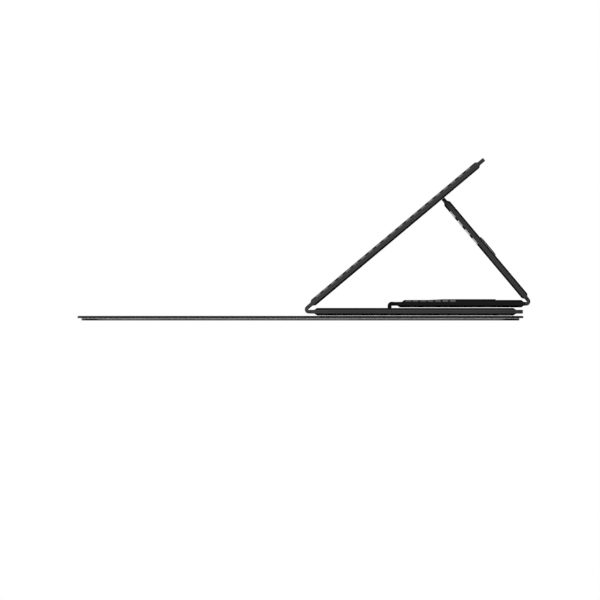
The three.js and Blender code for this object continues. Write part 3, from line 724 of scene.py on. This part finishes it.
frosted_lens, tree, shader = finish_of("frosted_lens", (0.8, 0.85, 0.84), 0.35)
mottle(tree, shader, 1500, (0.74, 0.79, 0.78), (0.84, 0.88, 0.87))
shader.inputs["Subsurface Weight"].default_value = 0.2
lens_profile = (
    (0.001, lens_low.z),
    (0.001, lens_high.z - 0.0003),
    (0.0009, lens_high.z - 0.0001),
    (0.0005, lens_high.z - 0.00002),
    (0.0002, lens_high.z),
)
lens = piece("status_light_guide", round_disc(lens_x, lens_y, lens_profile), frosted_lens, 60)
fitted(lens, "base", "status_lens")

# ---- base panel --------------------------------------------------------------------------------
# The four panels are made alike: two skins of black coated microfibre are moulded over a stiff board and
# pressed together round it in a flat rim. This one is taped down on the deck's back half.


def toned_by(tree, shader, attribute, plain, tone):
    """Base colour that goes from `plain` to `tone` as the mesh's own attribute goes from 0 to 1."""
    share = tree.nodes.new("ShaderNodeAttribute")
    share.attribute_name = attribute
    blend = tree.nodes.new("ShaderNodeMix")
    blend.data_type = "RGBA"
    blend.inputs["B"].default_value = (*tone, 1)
    tree.links.new(share.outputs["Fac"], blend.inputs["Factor"])
    tree.links.new(plain.outputs["Color"], blend.inputs["A"])
    tree.links.new(blend.outputs["Result"], shader.inputs["Base Color"])


def panel_cloth(name, tone, shade_tone, scale, gloss=0.06):
    """Black coated microfibre: a fine pebble of closed cells, and painted shade: a darker tone, set by a point
    attribute of the mesh, mostly on the slopes.
    """
    material, tree, shader = finish_of(name, (tone,) * 3, 0.62, gloss=gloss)
    plain = mottle(tree, shader, scale, (tone * 0.92,) * 3, (tone * 1.08,) * 3, socket=None)
    toned_by(tree, shader, "painted_shade", plain, (shade_tone, shade_tone, shade_tone * 1.04))
    roughness_drift(tree, shader, 30, 0.58, 0.74)
    fine_grain(tree, shader, 1500, 0.00009, cells=True)
    return material


# Painted shade: these are lit and shaded copies of the one microfibre. The back skins' slopes are painted darker,
# the undersides' slopes near black, and the leg's cloth is painted darker all over, as shade.
skin_cloth = panel_cloth("coated_microfibre", 0.039, 0.013, 30)
rear_shaded_cloth = panel_cloth("microfibre_rear", 0.039, 0.006, 30, 0.04)
lower_cloth = panel_cloth("microfibre_underside", 0.039, 0.001, 30, 0.02)
leg_shaded_cloth = panel_cloth("leg_microfibre", 0.012, 0.006, 30, 0.04)
leg_lower_cloth = panel_cloth("leg_microfibre_underside", 0.012, 0.001, 30, 0.02)

side_rim = 0.0056
rim_half = 0.003050 / 2
slope_width = 0.002
board_edge = 0.002
least_corner = 0.0025
plain_level = 0.003  # faces above a panel's middle
face_level = 0.00287  # and those that carry a pad


def turned(points, tilt, pivot):
    """Points of a flat panel turned up by `tilt` about the Y line through `pivot`, its x and z."""
    x, y, z = points.T
    along, across = math.cos(tilt), math.sin(tilt)
    return np.stack([pivot[0] + x * along - z * across, y, pivot[1] + x * across + z * along], axis=1)


def flat_box(name, tilt, pivot):
    """Lowest and highest corner of a CAD node as it lies when its panel is turned back flat."""
    points = node_points(name)
    x, y, z = points[:, 0] - pivot[0], points[:, 1], points[:, 2] - pivot[1]
    along, across = math.cos(tilt), math.sin(tilt)
    flat = np.stack([x * along + z * across, y, z * along - x * across], axis=1)
    return flat.min(0), flat.max(0)


def panel_ring(low, high, corners, ends, inset, steps=12):
    """A panel's outline taken in by `inset`: along its sides by just that, and at its ends by the share of it
    that their own rims have, so that every ring up to the rim's inner edge keeps the rims in proportion.

    `corners` and `ends` are the radii and the rim widths at the low-x and the high-x end.
    """
    share = min(inset / side_rim, 1)
    beyond = max(inset - side_rim, 0)
    quarter = np.linspace(0, math.pi / 2, steps + 1)
    points = []
    for end, sy, start in ((1, -1, -math.pi / 2), (1, 1, 0), (0, 1, math.pi / 2), (0, -1, math.pi)):
        foot = max(corners[end] - side_rim, least_corner)
        radius = max(corners[end] + (foot - corners[end]) * share - beyond, 0.00005)
        in_x = ends[end] * share + beyond + radius
        centre_x = high[0] - in_x if end else low[0] + in_x
        centre_y = (high[1] if sy > 0 else low[1]) - sy * (inset + radius)
        angle = start + quarter
        arc = np.stack([np.cos(angle), np.sin(angle)], axis=1)
        points.append((centre_x, centre_y) + radius * arc)
    return np.concatenate(points)


def skin_profile(rise):
    """Section through a skin's edge, as (inset, height, shade): the pocket for the board, the seam, the rolled rim
    with its pressed line, and the slope up to the face. The third value is the share of painted shade there: full
    on the slopes and in the pressed line, less along the rim and at the seam.

    The seam lies a little past the panel's middle, so that the two skins close on each other.
    """
    slope = rise - rim_half
    pocket = side_rim + board_edge
    return (
        (pocket + 0.0004, rim_half - 0.00005, 0),
        (pocket, rim_half - 0.0003, 0),
        (pocket, -0.00004, 0),
        (0.0005, -0.00004, 0),
        (0.00012, 0.00002, 0.3),
        (0.0, 0.0002, 0),
        (0.0, rim_half - 0.0006, 0),
        (0.0001, rim_half - 0.00028, 0),
        (0.0003, rim_half - 0.0001, 0),
        (0.0006, rim_half, 0.2),
        (0.0014, rim_half, 0.2),
        (0.0017, rim_half - 0.00012, 1),
        (0.002, rim_half, 0.2),
        (side_rim - 0.0006, rim_half, 0.4),
        (side_rim - 0.0001, rim_half + 0.04 * slope, 1),
        (side_rim + 0.0003, rim_half + 0.17 * slope, 1),
        (side_rim + slope_width - 0.00025, rise - 0.1 * slope, 1),
        (side_rim + slope_width, rise - 0.02 * slope, 1),
        (side_rim + slope_width + 0.0004, rise, 0.6),
        (side_rim + slope_width + 0.002, rise, 0),
    )


def panel_skin(name, node, tilt, pivot, corners, side, body, cloth, rise=None, reach=0.0):
    """One skin of a panel from its CAD node: the profile carried round its outline, on the front (side 1) or
    the back (side -1), and turned up with the panel.

    The rim widths at its ends are where the CAD node's own face starts and stops. A front skin that carries
    ribs rises to `rise`, level with the sheet between them, and `reach` lengthens the rim at the free end.
    """
    low, high = flat_box(node, tilt, pivot)
    seam = low[2] if side > 0 else high[2]
    points = node_points(node)
    x, z = points[:, 0] - pivot[0], points[:, 2] - pivot[1]
    along = x * math.cos(tilt) + z * math.sin(tilt)
    above = (z * math.cos(tilt) - x * math.sin(tilt) - seam) * side
    face = along[above > above.max() - 1e-5]
    high[0] += reach
    ends = (face.min() - slope_width - low[0], high[0] - face.max() - slope_width)
    profile = skin_profile(rise or high[2] - low[2])
    rings = [(panel_ring(low, high, corners, ends, inset), z) for inset, z, _ in profile]
    points, faces = stacked_rings(rings)
    if side < 0:
        points = points * (1, 1, -1)
        faces = [face[::-1] for face in faces]
    points = turned(points + (0, 0, seam), tilt, pivot)
    made = piece(name, (points, faces), cloth, 40)
    # painted shade: the profile's third values go on each point, to darken the cloth on the slopes, in the rim's
    # pressed line and at the seam
    painted_shade = made.data.attributes.new("painted_shade", "FLOAT", "POINT")
    shares = np.repeat([share for _, _, share in profile], len(rings[0][0]))
    painted_shade.data.foreach_set("value", shares.astype(np.float32))
    fitted(made, body, node)
    return made


free_corner = 0.020
fold_corner = 0.003
easel_corners = (fold_corner, free_corner)
base_at = (0, (0, 0), easel_corners)
panel_skin("base_panel_face", "base_panel_front_skin", *base_at, 1, "base", skin_cloth, plain_level)
panel_skin("base_panel_underside", "base_panel_back_skin", *base_at, -1, "base", lower_cloth)

# ---- back panel --------------------------------------------------------------------------------
# The panel that the tablet leans on, turned up about the base fold. Its face carries a pad of grey
# silicone with ribs along the keys.

back_normal = next(m for m in frame["record"]["mounts"] if m["name"] == "tablet_rest")["axis"]
back_tilt = math.atan2(-back_normal[0], back_normal[2])
base_fold = (joints["back_fold"]["pos_m"][0], joints["back_fold"]["pos_m"][2])
back_at = (back_tilt, base_fold, easel_corners)
panel_skin("back_panel_face", "back_panel_front_skin", *back_at, 1, "back", skin_cloth, face_level)
panel_skin("back_panel_rear", "back_panel_back_skin", *back_at, -1, "back", rear_shaded_cloth)


def rib_finish(name, tone):
    """Silicone with a light tone on the ribs and near black between them, from the pad's own attribute."""
    material, tree, shader = finish_of(name, (tone,) * 3, 0.6, gloss=0.08)
    light = mottle(tree, shader, 80, (tone * 0.95,) * 3, (tone * 1.05,) * 3, socket=None)
    toned_by(tree, shader, "between_ribs", light, (0.009, 0.009, 0.0094))
    roughness_drift(tree, shader, 70, 0.52, 0.68)
    fine_grain(tree, shader, 2000, 0.00006)
    return material


rib_silicone = rib_finish("rib_silicone", 0.13)


def pad_outline(node, tilt, pivot):
    """The top of a CAD grip pad from the side: the start and end of each rib, the sheet's height at both, and
    the place where the sheet's wedge stops, if it has one.

    At a rib's start and end, and at the wedge's stop, two corners of the outline lie over each other.
    """
    x, z = (node_points(node) - (pivot[0], 0, pivot[1]))[:, (0, 2)].T
    along = np.round(x * math.cos(tilt) + z * math.sin(tilt), 5)
    height = np.round(z * math.cos(tilt) - x * math.sin(tilt), 5)
    steps = []
    for place in np.unique(along):
        levels = np.unique(height[(along == place) & (height > height.min() + 0.0001)])
        if len(levels) == 2:
            steps.append((place, levels[0]))
    stop = steps.pop()[0] if len(steps) % 2 else None
    steps = np.array(steps).reshape(-1, 2, 2)
    return steps[:, :, 0], steps[:, :, 1], stop


def grip_pad(name, node, skin_node, tilt, pivot, corner, body, silicone, swell=0.0):
    """A ribbed pad over a panel's face and down both side slopes to the rims, as one closed sheet.

    Its height over the panel's middle is rim + (top(x) - rim) * s(y), where s climbs from 0 at the rim's
    inner edge to 1 at the face, and top(x) is the sheet's level, or a little over it on a rib, all raised by
    `swell`. The slopes lie 0.1 mm outside the skin's own. The inner edge follows the round corner of radius
    `corner` at the panel's free end.
    """
    low, high = flat_box(node, tilt, pivot)
    skin_low, skin_high = flat_box(skin_node, tilt, pivot)
    seam = skin_low[2]
    spans, sheet, stop = pad_outline(node, tilt, pivot)
    rib_height = 0.0002
    sunk = 0.00004  # sheet below the ribs
    edge = 0.00015
    stations = [(low[0], sheet[0, 0] + rib_height - sunk, 1)]
    for (start, end), (first, last) in zip(spans, sheet):
        stations += [
            (start, first + rib_height - sunk, 1),
            (start + edge, first + rib_height, 0),
            ((start + end) / 2, (first + last) / 2 + rib_height, 0),
            (end - edge, last + rib_height, 0),
            (end, last + rib_height - sunk, 1),
        ]
    ground = stations[0][1]
    if stop is not None:
        stations += [(stop - 0.0004, stations[-1][1], 1), (stop + 0.0003, ground, 1)]
    stations.append((high[0], ground, 1))
    x, top, dark = np.array(stations).T
    top = top + swell
    reach = skin_high[1] - side_rim + 0.0001
    foot = max(corner - side_rim, least_corner)
    corner_from = skin_high[0] - side_rim - foot
    into = np.clip(x - corner_from, 0, foot)
    reach = reach - (foot - np.sqrt(foot**2 - into**2))
    inwards = np.array([-0.0002, 0, 0.0003, 0.0010, 0.0017, 0.0020, 0.0026])
    climb = np.array([-0.04, 0.02, 0.17, 0.5, 0.83, 0.96, 1.0])
    side = reach[:, None] - inwards
    y = np.concatenate([-side, [[0.0]] * len(x), side[:, ::-1]], axis=1)
    share = np.concatenate([climb, [1.0], climb[::-1]])
    rim_level = seam + rim_half
    upper = rim_level + (top[:, None] - rim_level) * share
    lower = np.broadcast_to(rim_level + (face_level + seam - rim_level) * share - 0.0003, upper.shape)
    count = len(share)
    grid_x = np.broadcast_to(x[:, None], y.shape)
    points = np.concatenate([np.stack([grid_x, y, z], axis=2).reshape(-1, 3) for z in (upper, lower)])
    cell = (np.arange(len(x) - 1)[:, None] * count + np.arange(count - 1)).ravel()
    under = len(x) * count
    quad = np.stack([cell, cell + count, cell + count + 1, cell + 1], axis=1)
    faces = quad.tolist() + (quad[:, ::-1] + under).tolist()
    border = list(range(count)) + [n * count + count - 1 for n in range(1, len(x))]
    border += list(range(under - 2, under - count - 1, -1)) + [n * count for n in range(len(x) - 2, 0, -1)]
    faces += [[a, b, b + under, a + under] for a, b in zip(border, border[1:] + border[:1])]
    made = piece(name, (turned(points, tilt, pivot), faces), silicone, 30)
    between_ribs = made.data.attributes.new("between_ribs", "FLOAT", "POINT")
    between_ribs.data.foreach_set("value", np.tile(np.repeat(dark, count), 2).astype(np.float32))
    fitted(made, body, node)
    return made


back_pad = ("back_ribbed_pad", "back_grip_pad", "back_panel_front_skin")
grip_pad(*back_pad, back_tilt, base_fold, free_corner, "back", rib_silicone)

# ---- leg ---------------------------------------------------------------------------------------
# The narrower panel that lies on the base panel. Its pad has ribs near the strap and swells in a low wedge
# beyond them.

leg_at = (0, (0, 0), (fold_corner, fold_corner))
leg_swell = 0.00018
# painted shade: the leg's skins take the darker copies of the cloth
panel_skin("leg_face", "leg_front_skin", *leg_at, 1, "leg", leg_shaded_cloth, face_level + leg_swell)
panel_skin("leg_underside", "leg_back_skin", *leg_at, -1, "leg", leg_lower_cloth)
leg_pad = ("leg_ribbed_pad", "leg_grip_pad", "leg_front_skin")
grip_pad(*leg_pad, 0, (0, 0), fold_corner, "leg", rib_silicone, leg_swell)

# ---- strut -------------------------------------------------------------------------------------
# The panel that rises from the leg's far end and meets the back panel square. Magnets in its tongue hold it there.
# Its pad is painted much paler than the other pads, as painted light that stands for the side light falling on its
# inner face, and outside it has a sewn pull tab with ridges.

strut_tilt = back_tilt + math.pi / 2
strut_fold = (joints["strut_fold"]["pos_m"][0], joints["strut_fold"]["pos_m"][2])
tongue_corner = free_corner / 2
strut_at = (strut_tilt, strut_fold, (fold_corner, tongue_corner))
tongue_reach = 0.00028  # closes the gap to the back panel
panel_skin("strut_inside", "strut_front_skin", *strut_at, 1, "strut", skin_cloth, face_level, tongue_reach)
panel_skin("strut_outside", "strut_back_skin", *strut_at, -1, "strut", rear_shaded_cloth, reach=tongue_reach)
# painted light: a much paler copy of the rib silicone
painted_light_silicone = rib_finish("painted_light_silicone", 0.75)
strut_pad = ("strut_ribbed_pad", "strut_grip_pad", "strut_front_skin")
grip_pad(*strut_pad, strut_tilt, strut_fold, tongue_corner, "strut", painted_light_silicone)


def seam_stitches(low, high, corner, inset, level, spacing, length, thickness):
    """A row of stitches round a rounded rectangle: short rounded bars laid end to end along the line, each
    half sunk in the cloth at `level`, built from one ring of eight points carried over four stations."""
    line = plan_outline(low, high, corner, corner, inset, 8)
    line = np.concatenate([line, line[:1]])
    steps = np.hypot(*np.diff(line, axis=0).T)
    travelled = np.concatenate([[0], np.cumsum(steps)])
    count = int(travelled[-1] / spacing)
    middle = (np.arange(count) + 0.5) * travelled[-1] / count
    centre = np.stack([np.interp(middle, travelled, line[:, k]) for k in (0, 1)], axis=1)
    ahead = np.stack([np.interp(middle + 1e-4, travelled, line[:, k]) for k in (0, 1)], axis=1) - centre
    ahead /= np.linalg.norm(ahead, axis=1)[:, None]
    side = np.stack([-ahead[:, 1], ahead[:, 0]], axis=1)
    station = np.array([-0.5, -0.36, 0.36, 0.5]) * length
    girth = np.array([0.35, 1, 1, 0.35]) * thickness / 2
    angle = np.linspace(0, 2 * math.pi, 8, endpoint=False)
    across = girth[:, None] * np.cos(angle)
    height = girth[:, None] * np.sin(angle)
    flat = (
        centre[:, None, None, :]
        + ahead[:, None, None, :] * station[None, :, None, None]
        + side[:, None, None, :] * across[None, :, :, None]
    )
    tall = np.broadcast_to(level + height, flat.shape[:3])
    points = np.concatenate([flat, tall[..., None]], axis=3).reshape(-1, 3)
    ring = np.arange(8)
    ahead_of = (ring + 1) % 8
    strip = np.stack([ring + 8, ahead_of + 8, ahead_of, ring], axis=1)
    one = np.concatenate([strip, strip + 8, strip + 16]).tolist()
    one += [ring.tolist(), (24 + ring[::-1]).tolist()]
    faces = [[corner_at + 32 * n for corner_at in face] for n in range(count) for face in one]
    return points, faces


thread_grey, tree, shader = finish_of("thread_grey", (0.075, 0.075, 0.078), 0.7)
mottle(tree, shader, 1800, (0.05, 0.05, 0.052), (0.1, 0.1, 0.104))
fine_grain(tree, shader, 5000, 0.00006)


def pull_tab(name, node, ridges):
    """A flat tab on the strut's outside, built face up and turned over with the panel, with ridges across it
    and a row of stitches just inside its edge."""
    low, high = flat_box(node, strut_tilt, strut_fold)
    base, top = -high[2], -low[2]
    flat_low, flat_high = (low[0], low[1]), (high[0], high[1])
    corner = 0.003
    face = top - 0.00002
    edge = ((0.0, base), (0.0, top - 0.0003), (0.0001, top - 0.00012), (0.0004, face), (0.0009, face))
    shells = [plan_solid(flat_low, flat_high, corner, edge)]
    ridge = ((0, top - 0.0002), (0.0001, top + 0.00005), (0.0004, top + 0.00012))
    for n in range(ridges):
        x = low[0] + (n + 1) * (high[0] - low[0]) / (ridges + 1)
        shells.append(plan_solid((x - 0.0006, low[1] + 0.012), (x + 0.0006, high[1] - 0.012), 0.0005, ridge))
    points, faces = joined(shells)
    points = turned(points * (1, 1, -1), strut_tilt, strut_fold)
    made = piece(name, (points, [ring[::-1] for ring in faces]), skin_cloth, 45)
    fitted(made, "strut", node)
    points, faces = seam_stitches(flat_low, flat_high, corner, 0.0022, top, 0.0034, 0.0026, 0.0004)
    points = turned(points * (1, 1, -1), strut_tilt, strut_fold)
    thread = piece(f"{name}_stitches", (points, [face[::-1] for face in faces]), thread_grey, 60)
    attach(thread, "strut")


pull_tab("ridged_pull_tab", "strut_pull_tab", 5)

# ---- folds and strap ---------------------------------------------------------------------------
# Strips of the same microfibre, pressed over a rubber core, that carry on from the panels' rims. They are built
# bent round their folds as the panels stand, and shallow grooves along them help them to turn.

fold_cloth = panel_cloth("fold_microfibre", 0.034, 0.012, 45)
strap_cloth = panel_cloth("strap_microfibre", 0.005, 0.004, 45, 0.04)


def laminate_strip(name, node, path, width, thickness, material, grooves=0.0):
    """A band carried along a path in the x-z plane: its section is a rounded rectangle across the path.

    The section's corners are quarter circles of a third of the thickness. `grooves` is the depth of the
    wave along the path on the band's two faces.
    """
    tangent = np.gradient(path, axis=0)
    tangent /= np.linalg.norm(tangent, axis=1)[:, None]
    normal = np.stack([-tangent[:, 1], tangent[:, 0]], axis=1)
    half = thickness / 2
    section = plan_outline((-width / 2, -half), (width / 2, half), half * 0.66, half * 0.66, 0, 5)
    across, depth = section.T
    travelled = np.concatenate([[0], np.cumsum(np.hypot(*np.diff(path, axis=0).T))])
    fade = np.sin(math.pi * travelled / travelled[-1]) ** 2
    wave = 1 - grooves / half * fade * (0.5 - 0.5 * np.cos(2 * math.pi * travelled / 0.0011))
    depth = depth[None, :] * wave[:, None]
    x = path[:, :1] + normal[:, :1] * depth
    z = path[:, 1:] + normal[:, 1:] * depth
    y = np.broadcast_to(across, x.shape)
    points = np.stack([x, y, z], axis=2).reshape(-1, 3)
    count = len(section)
    ring = np.arange(count)
    start = np.arange(len(path) - 1)[:, None] * count
    along = np.roll(ring, -1)
    faces = np.stack([start + ring, start + along, start + count + along, start + count + ring], axis=2)
    faces = faces.reshape(-1, 4).tolist() + [ring[::-1].tolist(), ((len(path) - 1) * count + ring).tolist()]
    made = piece(name, (points, faces), material, 50)
    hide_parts(node)
    return made


def fold_path(pivot, radius, start, end, lead):
    """An arc about the fold line from one angle to another, in degrees, with a straight lead at each end."""
    angle = np.radians(np.linspace(start, end, 49))
    turn = math.copysign(1, end - start)
    arc = np.stack([pivot[0] + radius * np.cos(angle), pivot[1] + radius * np.sin(angle)], axis=1)
    heading = turn * np.stack([-np.sin(angle[[0, -1]]), np.cos(angle[[0, -1]])], axis=1)
    before = arc[0] - heading[0] * lead * np.array([[1.0], [0.5]])
    after = arc[-1] + heading[1] * lead * np.array([[0.5], [1.0]])
    return np.concatenate([before, arc, after])


rim_lead = 0.0009
base_low, base_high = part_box("base_panel_front_skin")
base_seam = base_low.z
base_radius = base_fold[1] - base_seam
base_strip = laminate_strip(
    "base_fold_band",
    "base_fold_strip",
    fold_path(base_fold, base_radius, 270, 90 + math.degrees(back_tilt), rim_lead),
    base_high.y - base_low.y - 0.002,
    2 * rim_half,
    fold_cloth,
    0.00025,
)
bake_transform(base_strip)

leg_low, leg_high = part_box("leg_front_skin")
leg_seam = leg_low.z
strut_radius = strut_fold[1] - leg_seam
strut_strip = laminate_strip(
    "strut_fold_band",
    "strut_fold_strip",
    fold_path(strut_fold, strut_radius, -90, math.degrees(back_tilt), rim_lead),
    leg_high.y - leg_low.y - 0.002,
    2 * rim_half,
    fold_cloth,
    0.0002,
)
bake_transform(strut_strip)

strap_low, strap_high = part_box("leg_strap")
strap_thickness = 0.0032
strap_x = joints["leg_fold"]["pos_m"][0]
strap_bend = 0.0016
quarter = np.radians(np.linspace(180, 90, 17))
bend_centre = np.array([strap_x + strap_bend, leg_seam - strap_bend])
strap_arc = bend_centre + strap_bend * np.stack([np.cos(quarter), np.sin(quarter)], axis=1)
strap_path = np.concatenate(
    [
        [(strap_x, strap_low.z - 0.0002), (strap_x, (strap_low.z + leg_seam - strap_bend) / 2)],
        strap_arc,
        [((strap_arc[-1, 0] + leg_low.x) / 2, leg_seam), (leg_low.x + 0.0001, leg_seam)],
    ]
)
strap = laminate_strip(
    "leg_strap_band", "leg_strap", strap_path, strap_high.y - strap_low.y, strap_thickness, strap_cloth
)
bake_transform(strap)

# ---- bounds ------------------------------------------------------------------------------------

low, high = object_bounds()
